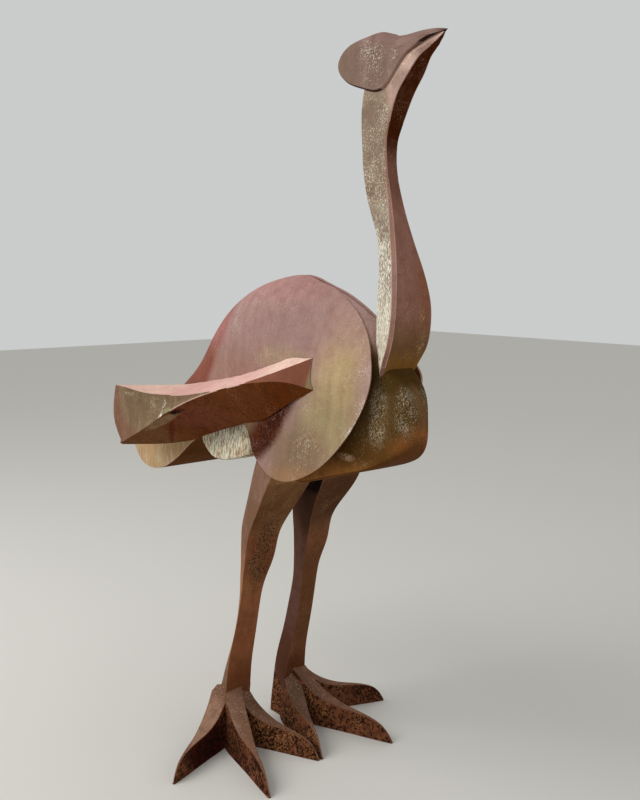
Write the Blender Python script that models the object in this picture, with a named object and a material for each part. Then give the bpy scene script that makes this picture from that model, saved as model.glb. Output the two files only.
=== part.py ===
"""Ostrich sculpture welded from steel plate, standing on two three-toed feet.

Metres, +Z up. The bird faces +X and its left side is +Y. Every welded box of plate is one closed
solid. Most of them are lofts: a ring of corner points is carried along a few stations, and the rows
of sizes between the stations are read smoothly.
"""
import math

import bmesh
import bpy
from mathutils import Vector

# ---------------------------------------------------------------- driving sizes
JOINT_GAP = 0.0003            # clearance where two pieces meet
CENTRE_X = 0.1045             # middle of the bird's length, measured from the point between the feet

BREAST_START = 0.500          # where the trunk's sides begin to close towards the breast
BREAST_LENGTH = 0.205
BREAST_FULLNESS = 2.6         # 2 would make the breast an ellipse in plan, and more is fuller
BREAST_TIP_SHARE = 0.02       # what is left of the squared width at its tip
RIDGE_ROUND = 0.010
RIDGE_FLAT = 0.4              # share of the ridge's half width that stays flat
BELLY_ROUND = 0.010
BREAST_BELLY_ROUND = 0.030    # the same edge's rounding where the sides close
BELLY_ROUND_LIMIT = 0.9       # largest rounding there, as a share of the half width

# Half the trunk's thickness at each height.
TRUNK_THICKNESS = (
    (0.800, 0.094),
    (1.000, 0.073),
    (1.150, 0.056),
    (1.220, 0.040),
    (1.280, 0.024),
    (1.330, 0.014),
    (1.390, 0.006),
)

# Trunk, seen from the side: station x, top z, bottom z.
TRUNK_PROFILE = (
    (-0.160, 1.148, 0.868),
    (-0.150, 1.160, 0.852),
    (-0.120, 1.192, 0.835),
    (-0.065, 1.250, 0.828),
    (0.020, 1.310, 0.846),
    (0.130, 1.354, 0.874),
    (0.244, 1.380, 0.850),
    (0.320, 1.365, 0.829),
    (0.400, 1.336, 0.852),
    (0.474, 1.300, 0.874),
    (0.530, 1.258, 0.890),
    (0.590, 1.190, 0.908),
    (0.630, 1.150, 0.927),
    (0.662, 1.124, 0.948),
    (0.688, 1.088, 0.978),
    (0.703, 1.040, 1.004),
)
TRUNK_RINGS = 19              # rings along the trunk, as far as the breast's curve
BREAST_STATIONS = (0.620, 0.638, 0.654, 0.668, 0.680, 0.690, 0.698, 0.703)

# Flank shield outline, seen from the side: x, z, distance of that edge from the middle plane, and
# how far the surface rolls over there (1) or ends in a free edge (0).
SHIELD_CENTRE = (0.280, 1.100)
SHIELD_OUTLINE = (
    (0.299, 1.374, 0.009, 0.45),
    (0.240, 1.385, 0.010, 0.75),
    (0.130, 1.364, 0.020, 1.00),
    (0.020, 1.321, 0.022, 1.00),
    (-0.076, 1.257, 0.022, 1.00),
    (-0.153, 1.179, 0.022, 1.00),
    (-0.228, 1.096, 0.024, 1.00),
    (-0.325, 1.028, 0.030, 1.00),
    (-0.355, 0.990, 0.050, 0.80),
    (-0.280, 0.975, 0.070, 0.60),
    (-0.105, 0.985, 0.095, 0.60),
    (0.080, 0.990, 0.125, 0.50),
    (0.180, 0.960, 0.148, 0.30),
    (0.212, 0.909, 0.158, 0.15),
    (0.269, 0.877, 0.168, 0.05),
    (0.312, 0.857, 0.170, 0.00),
    (0.375, 0.854, 0.166, 0.00),
    (0.437, 0.877, 0.154, 0.00),
    (0.490, 0.913, 0.138, 0.00),
    (0.541, 0.972, 0.118, 0.00),
    (0.577, 1.034, 0.101, 0.00),
    (0.601, 1.088, 0.093, 0.00),
    (0.611, 1.136, 0.088, 0.00),
    (0.592, 1.176, 0.070, 0.00),
    (0.568, 1.215, 0.053, 0.00),
    (0.536, 1.252, 0.038, 0.00),
    (0.484, 1.296, 0.024, 0.05),
    (0.418, 1.334, 0.016, 0.15),
    (0.360, 1.354, 0.012, 0.30),
)
SHIELD_BULGE = 0.127          # distance of the middle of the shield's face from the middle plane
SHIELD_FALL = 2.4             # how late the face falls towards an edge that lies deeper
SHIELD_FLARE = 1.5            # how late it flares towards an edge that stands further out
SHIELD_ROLL = 5               # how tightly it rolls over where it has no free edge
SHIELD_RIM = 0.004            # plate thickness that shows along the free edge
SHIELD_RIM_SCALE = 0.995      # the rim's inner corner against the outer one
SHIELD_UNDERCUT = 0.80        # size of the inner outline against the outer one
SHIELD_INSIDE = 0.015         # distance of its flat inner face from the middle plane
SHIELD_RINGS = (1.0, 0.98, 0.945, 0.89, 0.80, 0.66, 0.44, 0.20)

# Tail: station x, top z, bottom z, half width.
TAIL_STATIONS = (
    (-0.140, 1.062, 0.903, 0.084),
    (-0.184, 1.045, 0.877, 0.100),
    (-0.273, 1.020, 0.806, 0.114),
    (-0.365, 0.985, 0.759, 0.120),
    (-0.433, 0.950, 0.749, 0.120),
    (-0.495, 0.910, 0.761, 0.120),
    (-0.530, 0.875, 0.787, 0.120),
    (-0.545, 0.850, 0.815, 0.120),
)

TAIL_SHOULDER = 0.2           # share of the height that slopes in towards the roof
TAIL_ROOF = 0.72              # share of the width that the flat roof takes
TAIL_RINGS = 16

# Wing corner lines from root to tip, each row a station. Every corner is (x, out, z), where out
# is the distance from the middle plane.
WING_STATIONS = (
    # inner top edge, outer top edge,
    # crease, keel, inner side
    ((0.418, 0.104, 1.176), (0.415, 0.109, 1.174),
     (0.432, 0.123, 1.096), (0.434, 0.117, 1.092), (0.432, 0.105, 1.130)),
    ((0.345, 0.106, 1.180), (0.346, 0.158, 1.1415),
     (0.358, 0.165, 1.113), (0.353, 0.133, 1.056), (0.344, 0.115, 1.102)),
    ((0.260, 0.104, 1.1585), (0.261, 0.190, 1.1095),
     (0.270, 0.200, 1.104), (0.247, 0.143, 0.999), (0.255, 0.120, 1.074)),
    ((0.110, 0.106, 1.1135), (0.133, 0.208, 1.074),
     (0.130, 0.218, 1.0715), (0.123, 0.135, 0.967), (0.111, 0.118, 1.039)),
    ((-0.050, 0.112, 1.078), (0.022, 0.218, 1.0525),
     (0.030, 0.230, 1.040), (-0.008, 0.130, 0.930), (-0.037, 0.118, 1.007)),
    ((-0.175, 0.132, 1.052), (-0.085, 0.235, 1.038),
     (-0.079, 0.244, 0.994), (-0.108, 0.150, 0.892), (-0.160, 0.130, 0.975)),
    ((-0.295, 0.188, 1.043), (-0.207, 0.250, 1.032),
     (-0.227, 0.252, 0.921), (-0.253, 0.185, 0.863), (-0.305, 0.186, 0.955)),
    ((-0.407, 0.250, 1.037), (-0.313, 0.270, 1.043),
     (-0.372, 0.258, 0.857), (-0.381, 0.245, 0.850), (-0.446, 0.250, 0.930)),
)
WING_RINGS = 22
WING_HOLLOW = 0.012           # how far the outer face is dished between its two long edges, at the tip

# Neck and lower jaw, from inside the breast to the beak's tip:
# front x, front z, back x, back z, half width in front, half width behind, chamfer along the front.
NECK_STATIONS = (
    (0.592, 1.090, 0.550, 1.100, 0.038, 0.026, 0.006),
    (0.610, 1.132, 0.553, 1.140, 0.0455, 0.027, 0.009),
    (0.630, 1.172, 0.556, 1.180, 0.056, 0.028, 0.0115),
    (0.656, 1.222, 0.558, 1.230, 0.062, 0.029, 0.0115),
    (0.666, 1.300, 0.558, 1.305, 0.0596, 0.028, 0.0115),
    (0.655, 1.378, 0.562, 1.380, 0.0483, 0.026, 0.0120),
    (0.632, 1.458, 0.558, 1.460, 0.032, 0.024, 0.0125),
    (0.603, 1.558, 0.517, 1.562, 0.0186, 0.023, 0.0085),
    (0.584, 1.640, 0.499, 1.640, 0.0155, 0.022, 0.0042),
    (0.583, 1.690, 0.496, 1.690, 0.0175, 0.022, 0.0036),
    (0.594, 1.728, 0.495, 1.732, 0.0212, 0.024, 0.0045),
    (0.6105, 1.768, 0.497, 1.776, 0.0255, 0.026, 0.0090),
    (0.632, 1.807, 0.507, 1.822, 0.0270, 0.027, 0.0225),
    (0.663, 1.841, 0.552, 1.868, 0.0250, 0.025, 0.0255),
    (0.690, 1.874, 0.606, 1.893, 0.018, 0.016, 0.022),
    (0.712, 1.887, 0.655, 1.905, 0.013, 0.012, 0.014),
    (0.735, 1.902, 0.692, 1.915, 0.007, 0.006, 0.008),
    (0.749, 1.915, 0.726, 1.919, 0.002, 0.002, 0.002),
)
CHAMFER_BACK = 0.8            # how far the chamfer runs back and out, as shares of its size
CHAMFER_OUT = 0.6
NAPE_BEVEL = 0.006
NAPE_FLAT = 0.75              # share of the back's width that its flat edge takes
NECK_RINGS = 39

# Head and upper beak outline, seen from the side: x, z, half the thickness of that edge.
HEAD_OUTLINE = (
    (0.758, 1.919, 0.0015), (0.728, 1.926, 0.006), (0.683, 1.929, 0.009), (0.644, 1.928, 0.0105),
    (0.608, 1.931, 0.011), (0.590, 1.939, 0.012), (0.573, 1.946, 0.014), (0.553, 1.948, 0.02),
    (0.522, 1.943, 0.029), (0.472, 1.936, 0.034), (0.440, 1.922, 0.035), (0.421, 1.899, 0.035),
    (0.426, 1.874, 0.036), (0.452, 1.850, 0.036), (0.479, 1.836, 0.036), (0.525, 1.820, 0.036),
    (0.558, 1.811, 0.038), (0.589, 1.811, 0.044), (0.612, 1.820, 0.0455), (0.631, 1.838, 0.0455),
    (0.647, 1.858, 0.043), (0.661, 1.880, 0.037), (0.677, 1.891, 0.031), (0.695, 1.902, 0.027),
    (0.715, 1.911, 0.021), (0.733, 1.919, 0.012),
)
HEAD_HALF_WIDTH = 0.036       # half the thickness in the middle of the cheeks
HEAD_CROWN = 3.5              # how late the cheeks fall towards a thinner edge
HEAD_RINGS = (0.5, 0.84)      # the cheek's rings, as shares of the outline's size
HEAD_EDGE_ROUND = 0.004
HEAD_EDGE_SHARE = 0.11        # share of the thickness that the rounded edge takes
HEAD_MIDDLE = (0.540, 1.878)
HEAD_EDGE_STEPS = (1.0, 0.3, 0.0)   # the rounded edge's rings, as shares of its rounding

# Leg above the foot: height, front plate's x at its inner and outer edge, depth, distance from the
# middle plane of the inner plate, of the front plate's outer edge and of the rear outer edge.
LEG_STATIONS = (
    (0.000, 0.034, 0.030, 0.060, 0.066, 0.154, 0.148),
    (0.060, 0.041, 0.036, 0.060, 0.066, 0.152, 0.144),
    (0.130, 0.054, 0.047, 0.058, 0.066, 0.149, 0.136),
    (0.180, 0.062, 0.052, 0.060, 0.067, 0.148, 0.128),
    (0.220, 0.070, 0.056, 0.060, 0.071, 0.147, 0.121),
    (0.300, 0.094, 0.078, 0.057, 0.076, 0.145, 0.113),
    (0.360, 0.109, 0.096, 0.055, 0.076, 0.142, 0.111),
    (0.480, 0.134, 0.125, 0.043, 0.073, 0.138, 0.121),
    (0.520, 0.146, 0.133, 0.046, 0.067, 0.140, 0.127),
    (0.560, 0.164, 0.149, 0.053, 0.060, 0.145, 0.131),
    (0.590, 0.175, 0.161, 0.060, 0.056, 0.150, 0.134),
    (0.620, 0.183, 0.168, 0.066, 0.056, 0.150, 0.133),
    (0.660, 0.194, 0.176, 0.082, 0.055, 0.149, 0.130),
    (0.700, 0.216, 0.201, 0.094, 0.047, 0.151, 0.128),
    (0.750, 0.249, 0.241, 0.113, 0.036, 0.160, 0.124),
    (0.800, 0.284, 0.278, 0.135, 0.027, 0.167, 0.120),
    (0.830, 0.303, 0.296, 0.146, 0.021, 0.167, 0.118),
    (0.860, 0.318, 0.308, 0.154, 0.018, 0.160, 0.114),
    (0.900, 0.332, 0.316, 0.162, 0.016, 0.134, 0.104),
)
LEG_RINGS = ((0.0, 0.48, 10), (0.52, 0.90, 11))   # lowest, highest, how many: shank, then thigh

FOOT_OUT = 0.110              # foot's middle from the middle plane
FOOT_SPLAY = 17.0             # degrees that each foot turns out
# Toes: name, angle from the foot's own heading towards the outside in degrees, length.
TOES = (
    ("outer", 44.0, 0.322),
    ("middle", 0.0, 0.392),
    ("inner", -35.5, 0.330),
)
TOE_ROOT_SHIFT = (0.022, -0.004)   # the toes spring from inside the shank, ahead of the foot's middle
TOE_ROOT_SHARE = 0.16
# Toe shape: share of the length, half width at the ground, half width on top, height of the top.
TOE_STATIONS = (
    (0.00, 0.022, 0.020, 0.150),
    (0.10, 0.032, 0.026, 0.160),
    (0.16, 0.038, 0.027, 0.146),
    (0.23, 0.041, 0.026, 0.117),
    (0.31, 0.041, 0.025, 0.096),
    (0.40, 0.037, 0.022, 0.081),
    (0.50, 0.031, 0.017, 0.071),
    (0.60, 0.025, 0.011, 0.067),
    (0.70, 0.020, 0.007, 0.065),
    (0.80, 0.0155, 0.0045, 0.060),
    (0.88, 0.0115, 0.003, 0.052),
    (0.94, 0.008, 0.002, 0.037),
    (0.98, 0.0055, 0.0015, 0.018),
    (1.00, 0.004, 0.001, 0.004),
)

# ---------------------------------------------------------------- finishes
WEATHERED_STEEL = ("weathered_steel", (0.185, 0.095, 0.062, 1.0), 0.78, 0.45)
ROSE_STEEL = ("rose_weathered_steel", (0.330, 0.180, 0.150, 1.0), 0.72, 0.40)


# ---------------------------------------------------------------- helpers
def clear_scene():
    for item in list(bpy.data.objects):
        bpy.data.objects.remove(item, do_unlink=True)


def collection(name):
    group = bpy.data.collections.new(name)
    bpy.context.scene.collection.children.link(group)
    return group


def finish(description):
    name, colour, roughness, metallic = description
    material = bpy.data.materials.new(name)
    material.use_nodes = True
    shader = material.node_tree.nodes["Principled BSDF"]
    shader.inputs["Base Color"].default_value = colour
    shader.inputs["Roughness"].default_value = roughness
    shader.inputs["Metallic"].default_value = metallic
    return material


def mix(low, high, share):
    return low + (high - low) * share


def read_row(rows, key):
    """Sizes at key, read from rows sorted by their first number, smoothly and without overshoot."""
    stations = [row[0] for row in rows]
    span = max(i for i in range(len(rows) - 1) if i == 0 or stations[i] <= key)
    low, high = rows[span], rows[span + 1]
    width = high[0] - low[0]
    share = (key - low[0]) / width

    def rate(i, column):
        return (rows[i + 1][column] - rows[i][column]) / (rows[i + 1][0] - rows[i][0])

    def slope(i, column):
        if i == 0 or i == len(rows) - 1:
            return rate(min(i, len(rows) - 2), column)
        before, after = rate(i - 1, column), rate(i, column)
        return 0.0 if before * after <= 0 else 2 * before * after / (before + after)

    values = []
    for column in range(1, len(low)):
        start, end = low[column], high[column]
        leave, arrive = slope(span, column) * width, slope(span + 1, column) * width
        values.append(start * (1 + 2 * share) * (1 - share) ** 2 + leave * share * (1 - share) ** 2
                      + end * share ** 2 * (3 - 2 * share) + arrive * share ** 2 * (share - 1))
    return values


def numbered(rows):
    return [(float(i), *row) for i, row in enumerate(rows)]


def spread(first, last, count):
    return [mix(first, last, i / (count - 1)) for i in range(count)]


def closed_curve(points, steps):
    """Points along a smooth closed curve through the given points."""
    count = len(points)
    curve = []
    for i in range(count):
        before, start, end, after = (Vector(points[(i + k) % count]) for k in (-1, 0, 1, 2))
        for step in range(steps):
            share = step / steps
            curve.append(0.5 * (2 * start + (end - before) * share
                                + (2 * before - 5 * start + 4 * end - after) * share ** 2
                                + (3 * start - before - 3 * end + after) * share ** 3))
    return curve


def loft(name, rings, material, group):
    """Closed solid through rings of equally many corners, with a flat cap at each end."""
    form = bmesh.new()
    loops = [[form.verts.new(corner) for corner in ring] for ring in rings]
    for low, high in zip(loops, loops[1:]):
        for i in range(len(low)):
            following = (i + 1) % len(low)
            form.faces.new((low[i], low[following], high[following], high[i]))
    form.faces.new(loops[0][::-1])
    form.faces.new(loops[-1])
    bmesh.ops.triangulate(form, faces=form.faces)
    bmesh.ops.recalc_face_normals(form, faces=form.faces)
    mesh = bpy.data.meshes.new(name)
    form.to_mesh(mesh)
    form.free()
    mesh.materials.append(material)
    piece = bpy.data.objects.new(name, mesh)
    group.objects.link(piece)
    return piece


def evaluated_mesh(piece):
    return bpy.data.meshes.new_from_object(piece.evaluated_get(bpy.context.evaluated_depsgraph_get()))


def carve(piece, neighbour, cutters):
    """Cut a piece back to its neighbour's surface, and leave the joint gap between them."""
    mesh = evaluated_mesh(neighbour)
    form = bmesh.new()
    form.from_mesh(mesh)
    bmesh.ops.triangulate(form, faces=form.faces)
    form.normal_update()
    moves = [(corner, corner.normal * JOINT_GAP * corner.calc_shell_factor()) for corner in form.verts]
    for corner, move in moves:
        corner.co += move
    form.to_mesh(mesh)
    form.free()
    cutter = bpy.data.objects.new(f"cutter_{piece.name}_{neighbour.name}", mesh)
    cutter.hide_render = True
    cutter.display_type = "WIRE"
    cutters.objects.link(cutter)
    cut(piece, cutter, "DIFFERENCE")


def cut(piece, cutter, operation):
    modifier = piece.modifiers.new(f"{operation.lower()}_{cutter.name}", "BOOLEAN")
    modifier.operation = operation
    modifier.solver = "EXACT"
    modifier.object = cutter


# ---------------------------------------------------------------- trunk
def trunk_half_width(height):
    return read_row(TRUNK_THICKNESS, height)[0]


def breast_taper(x):
    if x <= BREAST_START:
        return 1.0
    return math.sqrt(max(BREAST_TIP_SHARE, 1.0 - ((x - BREAST_START) / BREAST_LENGTH) ** BREAST_FULLNESS))


def quarter(centre_y, centre_z, radius_y, radius_z, first, last, steps):
    turns = [math.radians(turn) for turn in spread(first, last, steps + 1)]
    return [(centre_y + radius_y * math.cos(turn), centre_z + radius_z * math.sin(turn)) for turn in turns]


def trunk_ring(x):
    top, bottom = read_row(TRUNK_PROFILE, x)
    taper = breast_taper(x)
    widest_round = BELLY_ROUND_LIMIT * trunk_half_width(bottom) * taper
    belly_round = min(mix(BREAST_BELLY_ROUND, BELLY_ROUND, taper), widest_round)
    low, high = bottom + belly_round, top - RIDGE_ROUND
    belly_width, ridge_width = trunk_half_width(low) * taper, trunk_half_width(high) * taper
    side = quarter(belly_width - belly_round, low, belly_round, belly_round, -90, 0, 3)
    side += [(trunk_half_width(z) * taper, z) for z in spread(low, high, 7)[1:-1]]
    flat_width = RIDGE_FLAT * ridge_width
    side += quarter(flat_width, high, ridge_width - flat_width, RIDGE_ROUND, 0, 90, 3)
    return [(x, y, z) for y, z in side] + [(x, -y, z) for y, z in reversed(side)]


def make_trunk(material, group):
    even = spread(TRUNK_PROFILE[0][0], BREAST_STATIONS[0], TRUNK_RINGS)
    return loft("trunk", [trunk_ring(x) for x in (*even, *BREAST_STATIONS[1:])], material, group)


# ---------------------------------------------------------------- flank shields
def shield_rings(side):
    outline = closed_curve(SHIELD_OUTLINE, 2)
    centre_x, centre_z = SHIELD_CENTRE

    def ring(scale, distance):
        rows = [(x, z, edge, max(0.0, min(1.0, roll))) for x, z, edge, roll in outline]
        return [(mix(centre_x, x, scale), side * distance(edge, roll), mix(centre_z, z, scale))
                for x, z, edge, roll in rows]

    def dome(scale):
        rolled = 1.0 - math.sqrt(max(0.0, 1.0 - scale ** SHIELD_ROLL))

        def distance(edge, roll):
            plain = scale ** (SHIELD_FALL if edge < SHIELD_BULGE else SHIELD_FLARE)
            return mix(SHIELD_BULGE, edge, mix(plain, rolled, roll))

        return distance

    inner = ring(SHIELD_UNDERCUT, lambda edge, roll: SHIELD_INSIDE)
    rim = ring(SHIELD_RIM_SCALE, lambda edge, roll: edge - SHIELD_RIM)
    return [inner, rim] + [ring(scale, dome(scale)) for scale in SHIELD_RINGS]


# ---------------------------------------------------------------- tail
def tail_ring(x):
    top, bottom, width = read_row(tuple((-row[0], *row[1:]) for row in TAIL_STATIONS), -x)
    shoulder, roof = top - TAIL_SHOULDER * (top - bottom), TAIL_ROOF * width
    return [(x, -width, bottom), (x, width, bottom), (x, width, shoulder), (x, roof, top),
            (x, -roof, top), (x, -width, shoulder)]


# ---------------------------------------------------------------- wings
def wing_ring(key, side):
    flat_rows = [[number for corner in row for number in corner] for row in WING_STATIONS]
    numbers = read_row(numbered(flat_rows), key)
    corners = [Vector(numbers[i:i + 3]) for i in range(0, len(numbers), 3)]
    inner_top, outer_top, crease, keel, inner_side = corners
    hollow = (outer_top + crease) / 2
    hollow.y -= WING_HOLLOW * (key / (len(WING_STATIONS) - 1)) ** 2
    ring = (inner_top, outer_top, hollow, crease, keel, inner_side)
    return [(corner.x, side * corner.y, corner.z) for corner in ring]


# ---------------------------------------------------------------- neck and head
def neck_ring(key):
    row = read_row(numbered(NECK_STATIONS), key)
    front_x, front_z, back_x, back_z, front_width, back_width, chamfer = row
    front, back = Vector((front_x, 0, front_z)), Vector((back_x, 0, back_z))
    inward = (back - front).normalized()
    shoulder = front + inward * chamfer * CHAMFER_BACK
    shoulder_width = front_width + chamfer * CHAMFER_OUT
    rear = back - inward * NAPE_BEVEL
    half = [(front, front_width), (shoulder, shoulder_width)]
    half += [(rear, back_width), (back, back_width * NAPE_FLAT)]
    return ([(point.x, -width, point.z) for point, width in half]
            + [(point.x, width, point.z) for point, width in reversed(half)])


def make_head(material, group):
    outline = closed_curve(HEAD_OUTLINE, 2)
    middle = Vector(HEAD_MIDDLE)

    def cheek_ring(scale, side):
        edges = [(middle.lerp(Vector((x, z)), scale), half) for x, z, half in outline]
        return [(point.x, side * mix(HEAD_HALF_WIDTH, half, scale ** HEAD_CROWN), point.y)
                for point, half in edges]

    def edge_ring(step, side):
        points = []
        for x, z, half in outline:
            edge = Vector((x, z))
            inner = edge + (middle - edge).normalized() * HEAD_EDGE_ROUND * step
            points.append((inner.x, side * half * (1.0 - HEAD_EDGE_SHARE * (1.0 - step)), inner.y))
        return points

    rings = [cheek_ring(scale, -1) for scale in HEAD_RINGS]
    rings += [edge_ring(step, -1) for step in HEAD_EDGE_STEPS]
    rings += [edge_ring(step, 1) for step in reversed(HEAD_EDGE_STEPS)]
    rings += [cheek_ring(scale, 1) for scale in reversed(HEAD_RINGS)]
    return loft("head", rings, material, group)


# ---------------------------------------------------------------- legs
def leg_ring(height, side):
    inner_x, outer_x, deep, inner, outer_front, outer_rear = read_row(LEG_STATIONS, height)
    rear_x = inner_x - deep
    corners = ((rear_x, inner), (rear_x, outer_rear), (outer_x, outer_front), (inner_x, inner))
    return [(x, side * out, height) for x, out in corners]


def toe_rings(angle, length, side):
    turn = math.radians(FOOT_SPLAY + angle)
    forward = Vector((math.cos(turn), math.sin(turn)))
    outward = Vector((-math.sin(turn), math.cos(turn)))
    rings = []
    for share, ground_width, top_width, top in TOE_STATIONS:
        middle = Vector((0.0, FOOT_OUT)) + forward * share * length
        middle += Vector(TOE_ROOT_SHIFT) * max(0.0, 1.0 - share / TOE_ROOT_SHARE)
        corners = [(middle + outward * across, height) for across, height in
                   ((-ground_width, 0.0), (ground_width, 0.0), (top_width, top), (-top_width, top))]
        rings.append([(corner.x, side * corner.y, height) for corner, height in corners])
    return rings


def make_leg(name, side, material, group, cutters):
    heights = [height for run in LEG_RINGS for height in spread(*run)]
    leg = loft(name, [leg_ring(height, side) for height in heights], material, group)
    for toe_name, angle, length in TOES:
        toe = loft(f"{name}_{toe_name}_toe", toe_rings(angle, length, side), material, cutters)
        toe.hide_render = True
        toe.display_type = "WIRE"
        cut(leg, toe, "UNION")
    return leg


# ---------------------------------------------------------------- the whole bird
def main():
    clear_scene()
    bird = collection("metal_ostrich")
    cutters = collection("cutters")
    steel, rose = finish(WEATHERED_STEEL), finish(ROSE_STEEL)

    trunk = make_trunk(steel, bird)
    neck_keys = spread(0, len(NECK_STATIONS) - 1, NECK_RINGS)
    neck = loft("neck", [neck_ring(key) for key in neck_keys], steel, bird)
    head = make_head(steel, bird)
    carve(neck, trunk, cutters)
    carve(neck, head, cutters)
    tail_stations = spread(TAIL_STATIONS[0][0], TAIL_STATIONS[-1][0], TAIL_RINGS)
    tail = loft("tail", [tail_ring(x) for x in tail_stations], steel, bird)
    carve(tail, trunk, cutters)
    for side_name, side in (("right", -1), ("left", 1)):
        shield = loft(f"{side_name}_flank", shield_rings(side), rose, bird)
        carve(shield, trunk, cutters)
        carve(shield, neck, cutters)
        carve(tail, shield, cutters)
        wing_keys = spread(0, len(WING_STATIONS) - 1, WING_RINGS)
        wing = loft(f"{side_name}_wing", [wing_ring(key, side) for key in wing_keys], rose, bird)
        carve(wing, shield, cutters)
        leg = make_leg(f"{side_name}_leg", side, steel, bird, cutters)
        carve(leg, trunk, cutters)
        carve(leg, shield, cutters)
    for piece in bpy.data.objects:
        piece.location.x -= CENTRE_X


main()
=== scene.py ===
"""Ostrich sculpture welded from steel plate: the weathered skin over its solids.

Metres, +Z up. The bird faces +X and its left side is +Y. Every solid is smoothed along its plates,
its edges get the narrow bevel of a dressed weld, on most pieces painted pale as wear and as a painted
highlight, and each plate takes its own rust, on many with painted shade where it looks down.
"""
import math

import bmesh
import bpy
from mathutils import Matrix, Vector


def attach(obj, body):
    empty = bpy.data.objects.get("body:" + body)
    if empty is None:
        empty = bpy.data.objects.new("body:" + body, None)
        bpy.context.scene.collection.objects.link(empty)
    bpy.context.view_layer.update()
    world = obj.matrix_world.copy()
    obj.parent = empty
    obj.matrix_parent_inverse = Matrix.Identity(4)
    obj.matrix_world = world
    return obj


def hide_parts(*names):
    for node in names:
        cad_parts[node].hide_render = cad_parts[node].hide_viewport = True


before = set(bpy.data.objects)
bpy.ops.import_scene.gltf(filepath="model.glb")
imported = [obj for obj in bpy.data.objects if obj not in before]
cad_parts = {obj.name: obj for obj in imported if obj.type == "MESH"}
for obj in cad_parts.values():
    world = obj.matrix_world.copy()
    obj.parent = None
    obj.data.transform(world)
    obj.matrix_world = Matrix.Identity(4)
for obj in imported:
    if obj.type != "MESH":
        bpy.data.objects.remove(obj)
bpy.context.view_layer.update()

MM = 0.001
MERGE = 0.02 * MM
SMOOTH_ANGLE = math.radians(32)      # plates that meet at less than this run into each other
PAINT_BREAK_ANGLE = math.radians(12)  # ... or at less than this, where two paints meet
FLAT_ANGLE = math.radians(25)        # triangles of one plate join into one face below this
SKEWED_ANGLE = math.radians(60)      # unless that face would be more skewed than this
BENT_ANGLE = math.radians(55)        # a bend this tight gets a dressed edge in the edge paint
FOLDED_ANGLE = math.radians(120)     # a plate's raw rim turns by more, and has no edge to dress
SUBDIVISIONS = 2
EDGE_BEVEL = 2.6 * MM                # a plate's edge, dressed with a grinder, where it is widest
COMMON_EDGE = 0.5                    # share of that on most edges
LIP_EDGE = 1.0                       # and along the rims that catch the light
SHORTEST_BEVELLED = 7 * MM           # shorter edges stay as they are ...
NARROWEST_BEVELLED = 5 * MM          # ... and so do the edges of narrower faces


# ---------------------------------------------------------------- materials
def linear(code):
    """A web colour as the renderer's linear one."""
    parts = [int(code[i:i + 2], 16) / 255 for i in (1, 3, 5)]
    return tuple(p / 12.92 if p <= 0.04045 else ((p + 0.055) / 1.055) ** 2.4 for p in parts) + (1.0,)


def add(tree, kind, sockets=None, **settings):
    """Add a node; a socket given another node's output is linked to it, and any other is set."""
    made = tree.nodes.new(kind)
    for key, value in settings.items():
        setattr(made, key, value)
    for key, value in (sockets or {}).items():
        if isinstance(value, bpy.types.NodeSocket):
            tree.links.new(value, made.inputs[key])
        else:
            made.inputs[key].default_value = value
    return made


def new_material(name, roughness, metallic, gloss):
    material = bpy.data.materials.new(name)
    material.use_nodes = True
    shader = material.node_tree.nodes["Principled BSDF"]
    shader.inputs["Roughness"].default_value = roughness
    shader.inputs["Metallic"].default_value = metallic
    shader.inputs["Specular IOR Level"].default_value = gloss
    return material, material.node_tree, shader


MIX_FACTOR, MIX_A, MIX_B, MIX_RESULT = 0, 6, 7, 2    # the colour sockets of a mix node
THROUGH = 1.0                        # a zone's radius where it goes through the whole plate
HOW_RAGGED = 0.9                     # how far a zone's edge wanders off its smooth line

# What every rust has in common, with sizes in millimetres.
RUST_ROUGHNESS, RUST_METALLIC, RUST_GLOSS = 0.88, 0.0, 0.06
NOISE_SPREAD = 0.3, 0.7              # nearly all of a noise lies between these
BLOOM_EDGE = 0.38, 0.66              # noise where a bloom begins, and where it is full
DEEP_EDGE = 0.47, 0.66               # the same for the deep rust
UNDERSIDE_SHADE_EDGE = -0.15, -0.7           # the upward share of a normal where painted shade under a plate begins, and is full
UNDERSIDE_SHADE_SHARE = 0.9                # how much of a downward face's own colour the painted shade hides
WANDER_SIZE = 55                     # bays along a zone's edge
RAIN_WIDTH, RAIN_LENGTH = 22, 420    # streaks that rain leaves
RAIN_TONES = 0.90, 1.08              # darkest and lightest of them
GROUP_SIZE = 70                      # marks gather in groups ...
GROUPING = 0.5                       # ... by so much
NO_MARKS, MARK_SPAN = 0.93, 0.43     # noise that marks nothing, and how much less marks nearly all
MARK_FADE, MARK_FULL = 0.03, 0.05    # a mark begins so far below its edge, and is full so far above
PIT_SIZE = 4                         # really about half a millimetre, drawn coarser so that they show
PIT_TONES = 0.86, 1.12               # darkest and lightest of them
PIT_STRENGTH = 0.4
WAVE_SIZE = 60                       # slow waves of a hand-bent plate ...
WAVES_TO_PITS = 2.5                  # ... and their height beside the pits'


def noise(tree, place, size, detail, **sockets):
    """Cloudy noise whose clouds are about so many millimetres across."""
    sockets = {"Vector": place, "Scale": 1000 / size, "Detail": detail, **sockets}
    return add(tree, "ShaderNodeTexNoise", sockets).outputs["Fac"]


def streaks(tree, place, width, height, detail, **sockets):
    """The same noise, with its own width and height."""
    across, along = 1000 / width, 1000 / height
    drawn_out = add(tree, "ShaderNodeMapping", {"Vector": place, "Scale": (across, across, along)})
    return noise(tree, drawn_out.outputs["Vector"], 1000, detail, **sockets)


def ramp(tree, value, start, end, low=0.0, high=1.0, **settings):
    """From low to high, as the value goes from start to end."""
    sockets = {"Value": value, "From Min": start, "From Max": end, "To Min": low, "To Max": high}
    return add(tree, "ShaderNodeMapRange", sockets, **settings).outputs["Result"]


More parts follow.
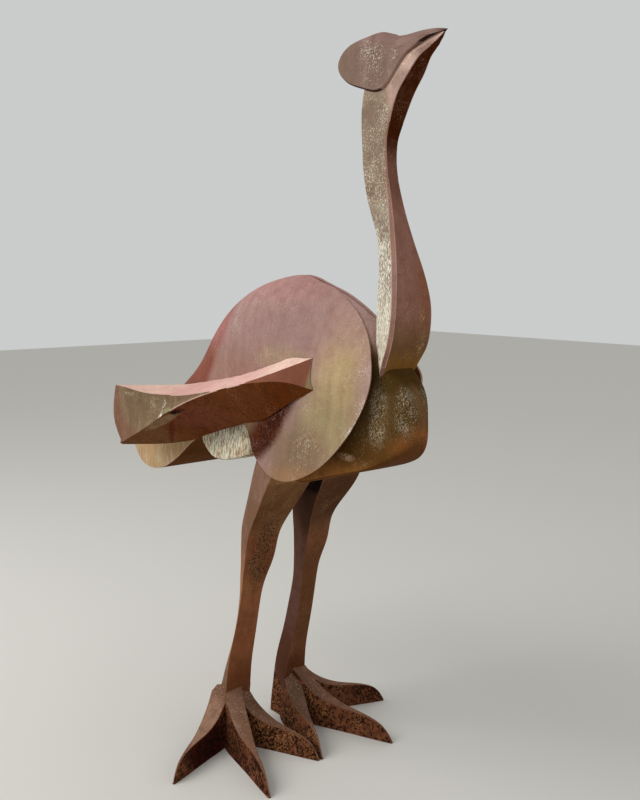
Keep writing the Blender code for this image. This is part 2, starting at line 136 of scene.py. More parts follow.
def scaled(tree, value, factor, plus=0.0):
    """The value times a factor, and something added."""
    sockets = {0: value, 1: factor, 2: plus}
    return add(tree, "ShaderNodeMath", sockets, operation="MULTIPLY_ADD").outputs["Value"]


def egg(centre, radii, softness=0.4, lean=0.0):
    """A soft egg-shaped zone. Its top leans forward by so many degrees."""
    return centre, radii, softness, (0.0, math.radians(lean), 0.0)


def line(start, end, radius, softness=0.5):
    """A long thin zone from one point to another."""
    run = Vector(end) - Vector(start)
    middle = (Vector(start) + Vector(end)) / 2
    turn = run.to_track_quat("Z", "Y").to_euler()
    return middle, (radius, radius, run.length / 2 + radius), softness, turn


def zone_share(tree, place, wander, zone):
    """1 inside a zone, and 0 past its soft edge."""
    centre, radii, softness, turn = zone
    sockets = {"Vector": place, "Location": centre, "Scale": radii, "Rotation": turn}
    round_egg = add(tree, "ShaderNodeMapping", sockets, vector_type="TEXTURE")
    away = add(tree, "ShaderNodeVectorMath", {0: round_egg.outputs["Vector"]}, operation="LENGTH")
    ragged = scaled(tree, wander, HOW_RAGGED * softness, away.outputs["Value"])
    middle = 1.0 + 0.5 * HOW_RAGGED * softness
    return ramp(tree, ragged, middle + softness, middle - softness, interpolation_type="SMOOTHSTEP")


def either_side(tree, place):
    """The place with its distance from the middle plane, on whichever side it lies."""
    axes = add(tree, "ShaderNodeSeparateXYZ", {"Vector": place}).outputs
    out = add(tree, "ShaderNodeMath", {0: axes["Y"]}, operation="ABSOLUTE").outputs["Value"]
    return add(tree, "ShaderNodeCombineXYZ", {"X": axes["X"], "Y": out, "Z": axes["Z"]}).outputs["Vector"]


def rusted_plate(name, ground, bloom, deep, patches=(), marks=(), bloom_size=180, deep_size=28,
                 deep_share=0.4, underside_shade=None, mirrored=True):
    """Steel left outdoors: a ground tone with broad blooms, patches, small deep rust, and marks.

    Sizes are in millimetres. A patch is (colour, strength, zone). A mark is (width, height, share of
    the surface, colour, strength, zone or None). The underside shade colour is painted shade: it darkens
    a plate where it looks at the ground. Mirrored zones lie on both sides of the bird, and their distance
    from the middle plane is positive.
    """
    material, tree, shader = new_material(name, RUST_ROUGHNESS, RUST_METALLIC, RUST_GLOSS)
    place = add(tree, "ShaderNodeTexCoord").outputs["Object"]
    zone_place = either_side(tree, place) if mirrored else place
    wander = noise(tree, place, WANDER_SIZE, 5.0, Roughness=0.6)

    broad = noise(tree, place, bloom_size, 5.0, Roughness=0.55, Distortion=0.3)
    layers = [(ramp(tree, broad, *BLOOM_EDGE), linear(bloom), "MIX")]
    for colour, strength, zone in patches:
        share = scaled(tree, zone_share(tree, zone_place, wander, zone), strength)
        layers.append((share, linear(colour), "MIX"))

    rain = streaks(tree, place, RAIN_WIDTH, RAIN_LENGTH, 3.0)
    layers.append((1.0, ramp(tree, rain, *NOISE_SPREAD, *RAIN_TONES), "MULTIPLY"))

    mottle = noise(tree, place, deep_size, 6.0, Roughness=0.62)
    layers.append((ramp(tree, mottle, *DEEP_EDGE, high=deep_share), linear(deep), "MIX"))

    # Painted shade: faces that look down are darkened towards the underside shade colour.
    if underside_shade:
        normal = add(tree, "ShaderNodeNewGeometry").outputs["Normal"]
        facing = add(tree, "ShaderNodeSeparateXYZ", {0: normal}).outputs["Z"]
        under = ramp(tree, facing, *UNDERSIDE_SHADE_EDGE, high=UNDERSIDE_SHADE_SHARE, interpolation_type="SMOOTHSTEP")
        layers.append((under, linear(underside_shade), "MIX"))

    groups = noise(tree, place, GROUP_SIZE, 3.0)
    for width, height, cover, colour, strength, zone in marks:
        grain = streaks(tree, place, width, height, 2.0, Roughness=0.7)
        grouped = scaled(tree, groups, GROUPING, grain)
        edge = NO_MARKS - MARK_SPAN * cover
        share = ramp(tree, grouped, edge - MARK_FADE, edge + MARK_FULL, high=strength)
        if zone:
            share = scaled(tree, share, zone_share(tree, zone_place, wander, zone))
        layers.append((share, linear(colour), "MIX"))

    pits = noise(tree, place, PIT_SIZE, 4.0, Roughness=0.7)
    layers.append((1.0, ramp(tree, pits, *NOISE_SPREAD, *PIT_TONES), "MULTIPLY"))
    tone = linear(ground)
    for share, colour, mode in layers:
        sockets = {MIX_FACTOR: share, MIX_A: tone, MIX_B: colour}
        mix = add(tree, "ShaderNodeMix", sockets, data_type="RGBA", blend_type=mode)
        tone = mix.outputs[MIX_RESULT]
    surface = scaled(tree, noise(tree, place, WAVE_SIZE, 2.0), WAVES_TO_PITS, pits)
    bump = add(tree, "ShaderNodeBump", {"Height": surface, "Strength": PIT_STRENGTH, "Distance": 1.0 * MM})
    tree.links.new(tone, shader.inputs["Base Color"])
    tree.links.new(bump.outputs["Normal"], shader.inputs["Normal"])
    return material


def edge_paints():
    # Weathering steel ground back after welding: thin, pale rust along the edges and on the shells' rims,
    # with a painted highlight where they catch the light.
    worn_edge_and_highlight = rusted_plate("ground_steel_pale_edge_and_highlight", "#c9a698", "#b99284", "#8d6656", deep_share=0.3)
    # The same on the shins, where dirt has darkened it.
    shin_edge = rusted_plate("ground_steel_shin_edge", "#7d5237", "#6d452d", "#4c2d1b", deep_share=0.4)
    # The same under the jaw and round the head, where it never went pale.
    head_edge = rusted_plate("ground_steel_head_edge", "#80655b", "#755a50", "#53382f", deep_share=0.3)
    return {"worn_edge_and_highlight": worn_edge_and_highlight, "shin_edge": shin_edge, "head_edge": head_edge}


def shield_paints():
    # Weathering steel rolled into a shell: dry, dusty rose rust, olive where rain runs, and dark raw rust
    # under the wing, with the wing's shadow painted over it.
    wing_shadow_and_rust = egg((0.168, 0.15, 1.003), (0.053, 0.10, 0.150), 0.35, 32)
    open_rust = egg((0.20, 0.0, 1.27), (0.42, THROUGH, 0.17), 0.3)
    low_rim = line((0.496, 0.10, 1.095), (0.450, 0.11, 0.985), 0.009, 0.5)
    shield = rusted_plate(
        "rolled_steel_rose_bloom", "#a2837d", "#9d7e78", "#8c6157", bloom_size=220, deep_share=0.3,
        # Faces that look down get painted shade.
        underside_shade="#5b3320",
        patches=(("#b0837d", 0.85, egg((0.12, 0.0, 1.41), (0.36, THROUGH, 0.10), 0.5)),
                 ("#977566", 0.75, egg((0.00, 0.0, 1.11), (0.26, THROUGH, 0.075), 0.6)),
                 # Painted shade, darker and redder, where the shell rolls away at the rear.
                 ("#814c3e", 1.0, egg((-0.275, 0.0, 1.17), (0.138, THROUGH, 0.32), 0.16, 31)),
                 ("#a46c68", 0.8, egg((-0.16, 0.0, 1.28), (0.085, THROUGH, 0.10), 0.5)),
                 ("#a28a6e", 0.7, egg((0.20, 0.0, 1.168), (0.10, THROUGH, 0.030), 0.6)),
                 ("#b08d7e", 0.8, egg((0.43, 0.0, 1.22), (0.12, THROUGH, 0.14), 0.6)),
                 ("#b39a71", 0.95, egg((0.405, 0.0, 1.095), (0.078, THROUGH, 0.115), 0.6)),
                 ("#9f8c67", 0.9, egg((0.365, 0.0, 0.995), (0.100, THROUGH, 0.085), 0.5)),
                 # Painted highlight: paler along the shell's front rim.
                 ("#b39386", 0.95, egg((0.535, 0.0, 1.13), (0.055, THROUGH, 0.21), 0.6)),
                 ("#836b54", 0.95, egg((0.285, 0.0, 0.920), (0.105, THROUGH, 0.080), 0.5)),
                 ("#95704f", 0.85, egg((0.33, 0.0, 0.862), (0.130, THROUGH, 0.035), 0.5)),
                 ("#6b5238", 0.95, egg((0.050, 0.14, 0.960), (0.060, 0.10, 0.080), 0.3)),
                 # Painted shadow of the wing, over dark raw rust.
                 ("#542916", 1.0, wing_shadow_and_rust)),
        marks=((2.5, 6, 0.03, "#dccbbb", 0.45, open_rust),
               (8, 40, 0.12, "#bfa597", 0.30, egg((0.10, 0.0, 1.20), (0.22, THROUGH, 0.2), 0.4)),
               # Dark rust specks within the wing's painted shadow.
               (4, 5, 0.42, "#2a0e05", 0.85, wing_shadow_and_rust),
               (3, 4, 0.26, "#f6eadb", 0.85, low_rim),
               (3, 8, 0.05, "#dccfb2", 0.45, egg((0.37, 0.0, 0.965), (0.12, THROUGH, 0.13), 0.3)),
               (3, 4, 0.06, "#ecdccf", 0.6, egg((0.450, 0.0, 1.12), (0.055, THROUGH, 0.09), 0.5))))
    return {"shield": shield}


def wing_paints():
    # Steel folded for the wings' tops and the tail's roof, which lie open to the rain: fine, even, pale
    # rose rust.
    wing_top = rusted_plate(
        "folded_steel_pale_rose", "#d09f96", "#d7aba0", "#b8877c", deep_share=0.22,
        patches=(("#efccbb", 0.9, egg((0.27, 0.0, 1.15), (0.12, THROUGH, 0.10), 0.5)),
                 ("#e6bcb0", 0.7, egg((0.07, 0.0, 1.08), (0.12, THROUGH, 0.06), 0.6)),
                 ("#d8b5a2", 0.7, egg((-0.36, 0.0, 1.04), (0.12, THROUGH, 0.06), 0.6))),
        marks=((4, 5, 0.05, "#ecd6c8", 0.4, None),))
    # The wing's upright outer side: rain leaves it olive with faint runs, and redder at both ends.
    outer_part = egg((-0.30, 0.2, 0.95), (0.37, THROUGH, 0.25), 0.2)
    scrape_above = line((-0.220, 0.238, 1.014), (-0.230, 0.244, 0.982), 0.009)
    scrape_below = line((-0.234, 0.244, 0.972), (-0.255, 0.238, 0.945), 0.007)
    wing_side = rusted_plate(
        # Faces that look down get painted shade.
        "folded_steel_olive", "#7c654d", "#765f49", "#5d4330", deep_share=0.3, underside_shade="#5a3416",
        patches=(("#7d5646", 0.95, egg((-0.57, 0.25, 0.95), (0.095, 0.20, 0.25), 0.25)),
                 ("#7d5747", 0.7, egg((-0.46, 0.25, 0.88), (0.09, 0.20, 0.05), 0.6)),
                 ("#87513f", 0.97, egg((0.17, 0.0, 1.12), (0.20, THROUGH, 0.10), 0.2)),
                 ("#8d7b58", 0.9, egg((0.322, 0.0, 1.13), (0.012, THROUGH, 0.07), 0.4)),
                 ("#8a8a64", 0.85, egg((-0.190, 0.237, 0.988), (0.024, 0.03, 0.012), 0.5))),
        marks=((8, 80, 0.22, "#958364", 0.35, outer_part),
               (3, 7, 0.04, "#c9bd9c", 0.50, outer_part),
               (4, 6, 0.32, "#efeadb", 0.80, scrape_above),
               (5, 12, 0.80, "#f3efe2", 0.95, scrape_below),
               (4, 5, 0.30, "#d3c8ae", 0.55, egg((-0.398, 0.262, 1.022), (0.028, 0.03, 0.006), 0.5))))
    # The wing's underside plate: dense rust with small orange flakes, painted dark as the shade of a plate
    # that looks down.
    # At a butt weld two thirds of the way out, the plates don't line up: a painted shadow stands for the
    # slot, a darker seam has painted shade beside it, and the olive side plate shows below the lip.
    seam = line((-0.204, 0.219, 0.961), (-0.292, 0.174, 0.879), 0.0045, 0.7)
    seam_shadow = line((-0.213, 0.219, 0.961), (-0.301, 0.174, 0.879), 0.008, 0.6)
    plate_below_lip = line((-0.170, 0.228, 0.985), (-0.320, 0.245, 0.918), 0.013, 0.25)
    painted_slot_shadow = line((-0.192, 0.234, 0.986), (-0.143, 0.226, 0.997), 0.008, 0.2)
    wing_leaf = rusted_plate(
        "folded_steel_dark_rust_and_shade", "#67381a", "#602d08", "#43200b", deep_share=0.45,
        patches=(("#6c4829", 0.9, egg((-0.39, 0.22, 0.90), (0.135, 0.20, 0.10), 0.15)),
                 ("#703b2b", 0.8, egg((-0.10, 0.20, 0.97), (0.11, 0.06, 0.05), 0.6)),
                 ("#4a1a0c", 0.9, seam_shadow),
                 ("#5e1f14", 0.7, seam),
                 ("#86694d", 0.95, plate_below_lip),
                 # Painted shadow where the slot would be; the slot itself is not cut.
                 ("#170803", 1.0, painted_slot_shadow)),
        marks=((3, 4, 0.10, "#9c6440", 0.55, None),
               (5, 60, 0.20, "#4a2209", 0.5, None)))
    return {"wing_top": wing_top, "wing_side": wing_side, "wing_leaf": wing_leaf}


def trunk_paints():
    # The belly and breast box, welded from bent plate: brown rust with lime flecks that the rain has
    # washed down in bands, bare mauve between shield and neck, and chalky runs under the wing.
    breast_side = egg((0.505, 0.060, 1.045), (0.026, 0.05, 0.075), 0.4)
    breast_front = egg((0.572, 0.032, 1.062), (0.032, 0.022, 0.062), 0.4)
    rump = egg((-0.185, 0.10, 0.90), (0.172, THROUGH, 0.12), 0.2)
    trunk = rusted_plate(
        # Faces that look down get painted shade.
        "welded_steel_brown_rust", "#5d4423", "#634a29", "#452d10", deep_share=0.35, underside_shade="#5c3514",
        patches=(("#684d26", 0.7, breast_side),
                 ("#4d3610", 0.85, egg((0.525, 0.03, 1.130), (0.07, 0.06, 0.030), 0.5)),
                 ("#7d5a3c", 0.75, egg((0.600, 0.0, 1.060), (0.05, 0.018, 0.075), 0.5)),
                 ("#5a3b15", 0.9, egg((0.48, 0.06, 0.94), (0.16, THROUGH, 0.050), 0.5)),
                 ("#995d2f", 0.8, egg((0.59, 0.0, 0.965), (0.07, 0.06, 0.055), 0.5)),
                 ("#9b6532", 0.9, egg((0.36, 0.09, 0.862), (0.24, THROUGH, 0.055), 0.5)),
                 ("#c09a93", 0.97, egg((0.35, 0.05, 1.29), (0.165, THROUGH, 0.11), 0.3)),
                 ("#9a7a70", 0.7, egg((-0.10, 0.0, 1.15), (0.20, THROUGH, 0.12), 0.5)),
                 ("#c0a47c", 0.97, rump),
                 ("#6b5236", 0.95, egg((0.04, 0.10, 0.92), (0.060, THROUGH, 0.12), 0.3))),
        marks=((3, 4, 0.36, "#b9ad94", 0.75, breast_side),
               (3, 4, 0.28, "#b9ab90", 0.70, breast_front),
               (3, 5, 0.25, "#2e1d0b", 0.6, egg((0.54, 0.05, 1.05), (0.09, 0.06, 0.08), 0.4)),
               (5, 30, 0.58, "#f3eed8", 0.88, rump),
               (4, 24, 0.26, "#6a5030", 0.8, rump),
               (3, 4, 0.40, "#ddb28e", 0.7, egg((0.405, 0.08, 0.931), (0.030, THROUGH, 0.009), 0.5)),
               (3, 6, 0.06, "#a08d70", 0.4, None)))
    return {"trunk": trunk}


def neck_paints():
    # The neck's flat sides, where rain from the head runs down: grey-green lime, dashed white below.
    washed = egg((0.52, 0.0, 1.17), (THROUGH, THROUGH, 0.33), 0.22)
    neck_side = rusted_plate(
        "rain_washed_steel", "#8d7968", "#866f5f", "#6d5a48", deep_share=0.35,
        patches=(("#938370", 0.8, washed),
                 ("#cdc2ac", 0.8, egg((0.52, 0.0, 1.22), (THROUGH, THROUGH, 0.10), 0.5))),
        marks=((3, 4, 0.30, "#bfb49b", 0.6, None),
               (3, 4, 0.06, "#e6dcc8", 0.7, None),
               (3, 9, 0.40, "#f4f1e0", 0.9, washed),
               (2.5, 9, 0.22, "#54432e", 0.75, washed)))
    # The jaw's side, which the beak keeps dry: smooth pale rose, lime-washed again behind the cheek.
    behind_cheek = egg((0.410, 0.0, 1.80), (0.088, THROUGH, 0.07), 0.12)
    jaw_side = rusted_plate(
        "cut_steel_pale_rose_jaw", "#b69687", "#b0907f", "#94705f", deep_share=0.25,
        patches=(("#8d7968", 0.95, behind_cheek),),
        marks=((3, 4, 0.30, "#bfb49b", 0.6, behind_cheek),))
    # The folded strip along the neck's front edge: smooth rose rust, palest on the jaw.
    chamfer = rusted_plate(
        # Faces that look down get painted shade.
        "folded_steel_rose_strip", "#a67f70", "#a17868", "#815d4e", deep_share=0.3, underside_shade="#5d372a",
        patches=(("#f8d5c4", 0.95, egg((0.58, 0.0, 1.86), (0.16, THROUGH, 0.12), 0.3)),),
        marks=((3, 5, 0.06, "#dcc4b6", 0.5, None),))
    # The throat plate: painted shade under the jaw at the top, a deep chocolate, and mauve and olive rust
    # lower down.
    throat = rusted_plate(
        "throat_steel_with_painted_jaw_shade", "#9b7061", "#946857", "#704838", deep_share=0.35, mirrored=False,
        patches=(("#7b5243", 0.85, egg((0.48, 0.0, 1.635), (THROUGH, THROUGH, 0.085), 0.5)),
                 # Painted shade cast by the jaw onto the throat's top.
                 ("#441a00", 1.0, egg((0.48, 0.0, 1.86), (THROUGH, THROUGH, 0.195), 0.2)),
                 ("#8f5a44", 0.8, egg((0.56, 0.037, 1.34), (0.05, 0.020, 0.09), 0.6)),
                 ("#755433", 0.95, egg((0.52, 0.0, 1.15), (0.2, THROUGH, 0.11), 0.5)),
                 ("#8b6228", 0.8, egg((0.52, 0.0, 1.13), (0.2, THROUGH, 0.06), 0.5))),
        marks=((3, 5, 0.22, "#cfa777", 0.60, egg((0.556, 0.036, 1.270), (0.03, 0.014, 0.09), 0.5)),
               (3, 5, 0.14, "#c9ab85", 0.55, egg((0.545, 0.02, 1.215), (0.03, 0.03, 0.03), 0.5)),
               (3, 5, 0.02, "#b99a80", 0.50, None)))
    return {"neck_side": neck_side, "jaw_side": jaw_side, "chamfer": chamfer, "throat": throat}


def head_paints():
    # Flat cheeks cut from plate: mauve-brown rust, with columns of lime flecks where rain ran down.
    flecks = ("#d6cab7", 0.85)
    cheek = egg((0.455, 0.0, 1.872), (0.085, THROUGH, 0.065), 0.3)
    head = rusted_plate(
        # Faces that look down are painted near black: the shade under the beak and cheek.
        "cut_steel_mauve_brown", "#876e63", "#80675b", "#694d43", deep_share=0.3, underside_shade="#35170d",
        patches=(("#80695b", 0.8, egg((0.352, 0.0, 1.885), (0.045, THROUGH, 0.07), 0.5)),
                 ("#8f6f69", 0.9, egg((0.470, 0.0, 1.943), (0.070, THROUGH, 0.022), 0.5)),
                 ("#8f7268", 0.8, egg((0.580, 0.0, 1.905), (0.055, THROUGH, 0.045), 0.5))),
        marks=((3, 4, 0.24, *flecks, egg((0.418, 0.0, 1.890), (0.019, THROUGH, 0.055), 0.5)),
               (3, 4, 0.22, *flecks, egg((0.460, 0.0, 1.893), (0.016, THROUGH, 0.040), 0.5)),
               (3, 4, 0.22, *flecks, egg((0.522, 0.0, 1.872), (0.017, THROUGH, 0.040), 0.5)),
               (3, 4, 0.06, "#c9bda9", 0.7, cheek),
               (3, 5, 0.12, "#5d4439", 0.5, cheek)))
    # The cheek box's bent edge, brushed clean by the rain.
    cheek_edge = rusted_plate("bent_steel_mauve_edge", "#94786c", "#8f7266", "#785c50", deep_share=0.25)
    return {"head": head, "cheek_edge": cheek_edge}


def leg_paints():
    # The shin's front plate: brown rust, flecked orange above the knee and pitted black round it.
    leg_front = rusted_plate(
        # Faces that look down get painted shade.
        "bent_steel_brown_shin", "#8f5a38", "#8a5037", "#55341f", deep_share=0.35, underside_shade="#4a2a16",
        mirrored=False,
        patches=(("#bd8c5c", 0.85, egg((0.14, -0.10, 0.80), (0.12, 0.09, 0.14), 0.4)),
                 ("#6a4c34", 0.9, egg((0.13, 0.10, 0.74), (0.12, 0.09, 0.14), 0.4)),
                 ("#643f27", 0.8, egg((0.0, 0.10, 0.40), (0.12, 0.09, 0.22), 0.5)),
                 ("#5f311b", 0.75, egg((-0.06, -0.10, 0.15), (0.12, 0.09, 0.09), 0.6)),
                 ("#6f482c", 0.6, egg((0.08, -0.092, 0.60), (0.08, 0.030, 0.11), 0.5)),
                 ("#4a2411", 0.8, egg((-0.06, 0.10, 0.12), (0.12, 0.09, 0.10), 0.5))),
        marks=((3, 4, 0.20, "#b98d63", 0.5, egg((0.14, -0.11, 0.765), (0.06, 0.06, 0.06), 0.4)),
               (5, 6, 0.38, "#2a150b", 0.75, egg((0.08, -0.095, 0.600), (0.08, 0.04, 0.12), 0.4)),
               (3, 5, 0.10, "#a87d59", 0.55, egg((0.08, -0.10, 0.600), (0.08, 0.06, 0.12), 0.4)),
               (3, 7, 0.08, "#a07a5c", 0.4, None)))
    # The leg's outer side, washed by rain to a rosy tan.
    leg_outer = rusted_plate(
        "bent_steel_rosy_tan", "#735643", "#785541", "#64452f", deep_share=0.3,
        patches=(("#826253", 0.7, egg((0.12, 0.0, 0.84), (0.15, THROUGH, 0.07), 0.5)),
                 ("#a16e4f", 0.8, egg((-0.03, 0.0, 0.43), (0.15, THROUGH, 0.18), 0.5))),
        marks=((6, 50, 0.15, "#9c7c66", 0.4, None),))
    # The leg's inner side: mauve-brown, painted dark as the shade between the legs.
    leg_inner = rusted_plate(
        "bent_steel_mauve_brown_with_painted_shade", "#64443a", "#5f4033", "#42281c", deep_share=0.4,
        patches=(("#41281a", 0.9, egg((0.09, 0.0, 0.71), (0.08, THROUGH, 0.09), 0.5)),
                 # Painted shadow, near black, under the body at the top of the leg.
                 ("#160a06", 1.0, egg((0.14, 0.0, 0.815), (0.10, THROUGH, 0.045), 0.3)),
                 ("#512d1c", 0.8, egg((-0.05, 0.0, 0.20), (0.08, THROUGH, 0.10), 0.5))))
    # Toes welded from wedges of plate: their tops are trodden clean and greyish, and their sides are
    # splashed, flaking black over orange rust.
    toe_top = rusted_plate(
        "wedge_steel_grey_mauve", "#82604c", "#775441", "#573a29", deep_share=0.4, mirrored=False,
        patches=(("#9c7963", 0.9, egg((-0.04, -0.235, 0.08), (0.13, 0.075, 0.10), 0.4)),
                 ("#6f503e", 0.9, egg((0.05, -0.055, 0.08), (0.13, 0.07, 0.10), 0.4)),
                 ("#63493b", 0.9, egg((0.05, 0.075, 0.08), (0.13, 0.07, 0.10), 0.4))),
        marks=((4, 4, 0.16, "#b3927f", 0.5, None),
               (4, 5, 0.12, "#4a2f22", 0.6, None)))
    toe_side = rusted_plate(
        "wedge_steel_flaking", "#7a4a31", "#6b4029", "#2a1109", bloom_size=60, deep_size=24,
        deep_share=0.8, mirrored=False,
        patches=(("#40150a", 1.0, egg((-0.02, -0.250, 0.04), (0.16, 0.08, 0.08), 0.3)),
                 ("#45190d", 0.9, egg((-0.04, -0.075, 0.09), (0.05, 0.03, 0.05), 0.5))),
        marks=((8, 9, 0.38, "#1e0c06", 0.90, None),
               (6, 7, 0.22, "#a8744b", 0.6, egg((0.0, 0.06, 0.04), (0.30, 0.235, 0.10), 0.2))))
    return {"leg_front": leg_front, "leg_outer": leg_outer, "leg_inner": leg_inner,
            "toe_top": toe_top, "toe_side": toe_side}


def tail_paints():
    # The tail box's upright sides face the rain: ochre rust with long pale runs.
    tail = rusted_plate(
        "bent_steel_ochre", "#b0906b", "#ae8d67", "#98754a", deep_share=0.3,
        marks=((6, 90, 0.35, "#cfbd99", 0.5, None),
               (5, 50, 0.18, "#94713f", 0.45, None),
               (3, 4, 0.05, "#efe6cc", 0.6, None)))
    # Painted shade: what faces the ground, and the shells' inner faces at the breast, is painted a dark
    # raw-rust brown.
    underside = rusted_plate("raw_rust_with_painted_underside_shade", "#5f360d", "#57310f", "#40210a", deep_share=0.4)
    return {"tail": tail, "underside": underside}


# ---------------------------------------------------------------- pieces
def refined(nodes, name, paints, region, edge="worn_edge_and_highlight", flat=None, dressing=None):
    """One smooth piece over some solids, whose faces take the paint that region names.

    Where flat holds for a face, the facets are one plate. Where two paints meet, or a plate bends
    sharply, the edge is dressed in the edge paint, as widely as dressing says for its middle.
    """
    form = bmesh.new()
    for node in nodes:
        form.from_mesh(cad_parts[node].data)
    bmesh.ops.remove_doubles(form, verts=form.verts, dist=MERGE)
    form.normal_update()
    if flat:
        bmesh.ops.dissolve_faces(form, faces=[face for face in form.faces if flat(face)])
    form.normal_update()
    used = {}
    for face in form.faces:
        face.smooth = True
        paint = region(face.calc_center_median(), face.normal)
        face.material_index = used.setdefault(paint, len(used))
    bmesh.ops.join_triangles(form, faces=form.faces, cmp_materials=True, angle_face_threshold=FLAT_ANGLE,
                             angle_shape_threshold=SKEWED_ANGLE)
    form.normal_update()
    crease = form.edges.layers.float.new("crease_edge")
    weight = form.edges.layers.float.new("bevel_weight_edge")
    for fold in form.edges:
        turn = fold.calc_face_angle(math.pi)
        two_paints = len({face.material_index for face in fold.link_faces}) > 1
        sharp = turn > (PAINT_BREAK_ANGLE if two_paints else SMOOTH_ANGLE)
        fold.smooth = not sharp
        fold[crease] = 1.0 if sharp else 0.0
        narrowest = min(face.calc_area() / fold.calc_length() for face in fold.link_faces)
        broad = fold.calc_length() > SHORTEST_BEVELLED and narrowest > NARROWEST_BEVELLED
        dressed = two_paints and turn > SMOOTH_ANGLE or turn > BENT_ANGLE
        if dressed and broad and turn < FOLDED_ANGLE:
            middle = (fold.verts[0].co + fold.verts[1].co) / 2
            fold[weight] = dressing(middle) if dressing else COMMON_EDGE
    mesh = bpy.data.meshes.new(name)
    form.to_mesh(mesh)
    form.free()
    for paint in used:
        mesh.materials.append(paints[paint])
    mesh.materials.append(paints[edge])
    piece = bpy.data.objects.new(name, mesh)
    bpy.context.scene.collection.objects.link(piece)
    rounded = piece.modifiers.new("smooth_plates", "SUBSURF")
    rounded.levels = rounded.render_levels = SUBDIVISIONS
    edges = piece.modifiers.new("dressed_edges", "BEVEL")
    edges.limit_method = "WEIGHT"
    edges.width = EDGE_BEVEL
    edges.segments = 2
    edges.use_clamp_overlap = False
    edges.material = len(used)
    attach(piece, "root")
    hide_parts(*nodes)
    return piece


# Where one paint gives way to the next, in metres.
JAW_HEIGHT = 1.79                    # above this the neck's sides are the jaw's
BROW_HEIGHT = 1.90                   # below this the head's front edge is the cheek's
SHELL_FRONT = 0.20                   # forward of this the shells open round the breast ...
INNER_TOP = 1.18                     # ... their inner faces take painted shade up to here ...
RIM_TOP = 1.36                       # ... and their rims are painted pale, as wear and painted highlight, up to here
SHIELD_MIDDLE = Vector((0.1755, 0.0, 1.10))    # a shell's middle, from the side
SHIELD_CAP = 0.095                   # radius of the shield's nearly flat middle
ANKLE_HEIGHT = 0.17                  # below this what looks up is a toe's top ...
TOE_ROOT_HEIGHT = 0.125              # ... and below this the rest is a toe's side
SEAM_X = -0.19                       # the wing's lip shines from here ...
FOLD_END_X = 0.14                    # ... to here, where the side plate steepens again
# The wing's outer top edge from tip to root: x, distance from the middle plane.
WING_OUTER_EDGE = ((-0.4175, 0.270), (-0.3115, 0.250), (-0.1895, 0.235), (-0.0825, 0.218),
                   (0.0285, 0.208), (0.1565, 0.190), (0.2415, 0.158), (0.3105, 0.109))

# How far a face looks one way, as a share of its unit normal.
NECK_SIDE_ASIDE = 0.93               # the neck's flat sides look aside by more
THROAT_AHEAD, THROAT_ASIDE = 0.2, 0.3    # the throat looks ahead by more, and aside by less
CHIN_DOWN, CHIN_ASIDE = 0.5, 0.6     # the chin looks down by more, and aside by less
JAW_STRIP_AHEAD = 0.2                # the folded strip on the jaw looks ahead by more
CHEEK_AHEAD, CHEEK_ASIDE = 0.1, 0.75     # the cheek's edge looks ahead by more, and aside by less
WING_TOP_UP, TAIL_ROOF_UP, TOE_TOP_UP = 0.6, 0.25, 0.35    # these look up by more
UNDERSIDE_DOWN = 0.3                 # a wing's or the tail's underside looks down by more
LEG_SIDE_ASIDE = 0.6                 # the legs' flat sides look aside by more
INNER_FACE_IN = 0.4                  # a shell's inner face looks at the middle plane by more
RIM_ASIDE = 0.3                      # its rim looks aside by less


def trunk_region(centre, normal):
    return "trunk"


def neck_region(centre, normal):
    side, strip_ahead = ("jaw_side", JAW_STRIP_AHEAD) if centre.z > JAW_HEIGHT else ("neck_side", 0.0)
    aside = abs(normal.y)
    if aside > NECK_SIDE_ASIDE:
        return side
    throat = normal.x > THROAT_AHEAD and aside < THROAT_ASIDE
    chin = normal.z < -CHIN_DOWN and aside < CHIN_ASIDE
    if throat or chin:
        return "throat"
    return "chamfer" if normal.x > strip_ahead else side


def head_region(centre, normal):
    ahead = normal.x > CHEEK_AHEAD and abs(normal.y) < CHEEK_ASIDE
    return "cheek_edge" if ahead and centre.z < BROW_HEIGHT else "head"


def wing_width(x):
    """Distance of the wing's outer top edge from the middle plane."""
    rows = WING_OUTER_EDGE
    low, high = next((pair for pair in zip(rows, rows[1:]) if x < pair[1][0]), rows[-2:])
    return low[1] + (high[1] - low[1]) * (x - low[0]) / (high[0] - low[0])


def wing_dressing(middle):
    return LIP_EDGE if SEAM_X < middle.x < FOLD_END_X else 0.0


def wing_region(centre, normal):
    on_top = abs(centre.y) < wing_width(centre.x) or 0.0 < centre.x < FOLD_END_X
    if normal.z > WING_TOP_UP and on_top:
        return "wing_top"
    return "wing_leaf" if normal.z < -UNDERSIDE_DOWN else "wing_side"


def tail_region(centre, normal):
    if normal.z > TAIL_ROOF_UP:
        return "wing_top"
    return "underside" if normal.z < -UNDERSIDE_DOWN else "tail"


def leg_region(centre, normal):
    if centre.z < ANKLE_HEIGHT and normal.z > TOE_TOP_UP:
        return "toe_top"
    if centre.z < TOE_ROOT_HEIGHT:
        return "toe_side"
    if abs(normal.y) > LEG_SIDE_ASIDE:
        return "leg_outer" if normal.y * centre.y > 0 else "leg_inner"
    return "leg_front"


def shield_region(centre, normal):
    if centre.x <= SHELL_FRONT:
        return "shield"
    if centre.z < INNER_TOP and normal.y * centre.y < -INNER_FACE_IN * abs(centre.y):
        return "underside"
    # The rims of the shells' open fronts take the pale edge paint: wear, and a painted highlight.
    return "worn_edge_and_highlight" if centre.z < RIM_TOP and abs(normal.y) < RIM_ASIDE else "shield"


def shield_cap(face):
    return all((Vector((corner.co.x, 0.0, corner.co.z)) - SHIELD_MIDDLE).length < SHIELD_CAP
               for corner in face.verts)


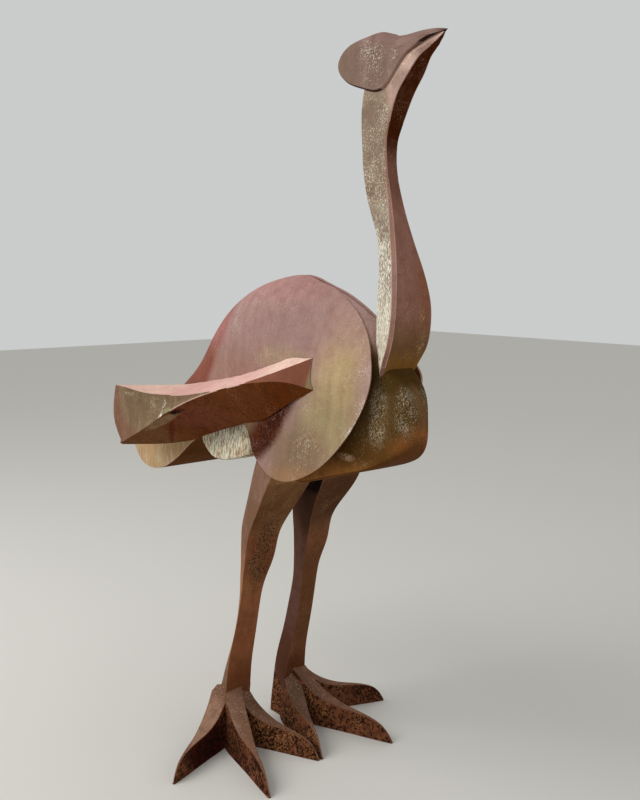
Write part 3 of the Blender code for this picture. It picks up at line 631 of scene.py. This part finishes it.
def make_bird():
    paints = {}
    for family in (edge_paints, shield_paints, wing_paints, trunk_paints, neck_paints, head_paints,
                   leg_paints, tail_paints):
        paints.update(family())
    refined(["trunk"], "breast_and_rump", paints, trunk_region, edge="shin_edge")
    refined(["neck"], "neck_and_jaw", paints, neck_region)
    refined(["head"], "head_and_beak", paints, head_region, edge="head_edge")
    refined(["tail"], "tail_box", paints, tail_region)
    for side in ("right", "left"):
        refined([f"{side}_flank"], f"{side}_shield", paints, shield_region, flat=shield_cap)
        refined([f"{side}_wing"], f"{side}_wing_box", paints, wing_region, dressing=wing_dressing)
        refined([f"{side}_leg"], f"{side}_leg_and_foot", paints, leg_region, edge="shin_edge")


# ---------------------------------------------------------------- stage
FLOOR_REACH = 14.0                   # half the floor's width
LENS = 40.5                          # millimetres
CAMERA_PLACE = (2.0885, -1.519, 1.39)
CAMERA_TURN = (81.906, 0.0, 51.1)    # degrees


def make_stage():
    # A painted studio floor: even, matt and pale.
    floor_paint, _, shader = new_material("pale_painted_floor", roughness=0.9, metallic=0.0, gloss=0.3)
    shader.inputs["Base Color"].default_value = linear("#d6d3cc")
    form = bmesh.new()
    bmesh.ops.create_grid(form, x_segments=1, y_segments=1, size=FLOOR_REACH)
    mesh = bpy.data.meshes.new("studio_floor")
    form.to_mesh(mesh)
    form.free()
    mesh.materials.append(floor_paint)
    floor = bpy.data.objects.new("studio_floor", mesh)
    bpy.context.scene.collection.objects.link(floor)

    world = bpy.data.worlds.new("studio")
    world.use_nodes = True
    sky = world.node_tree.nodes["Background"]
    sky.inputs["Color"].default_value = linear("#e6e8e8")
    sky.inputs["Strength"].default_value = 0.75
    bpy.context.scene.world = world

    soft_box("overhead_softbox", place=(-1.6, -3.2, 3.6), target=(0.0, 0.0, 0.9), size=3.2, power=130)


def soft_box(name, place, target, size, power):
    lamp = bpy.data.lights.new(name, "AREA")
    lamp.size = size
    lamp.energy = power
    holder = bpy.data.objects.new(name, lamp)
    holder.location = place
    holder.rotation_euler = (Vector(target) - Vector(place)).to_track_quat("-Z", "Y").to_euler()
    bpy.context.scene.collection.objects.link(holder)


def make_camera():
    lens = bpy.data.cameras.new("camera")
    lens.lens = LENS
    camera = bpy.data.objects.new("camera", lens)
    camera.location = CAMERA_PLACE
    camera.rotation_euler = [math.radians(angle) for angle in CAMERA_TURN]
    bpy.context.scene.collection.objects.link(camera)
    bpy.context.scene.camera = camera


make_camera()
make_stage()
make_bird()
bpy.context.scene.view_settings.view_transform = "Standard"
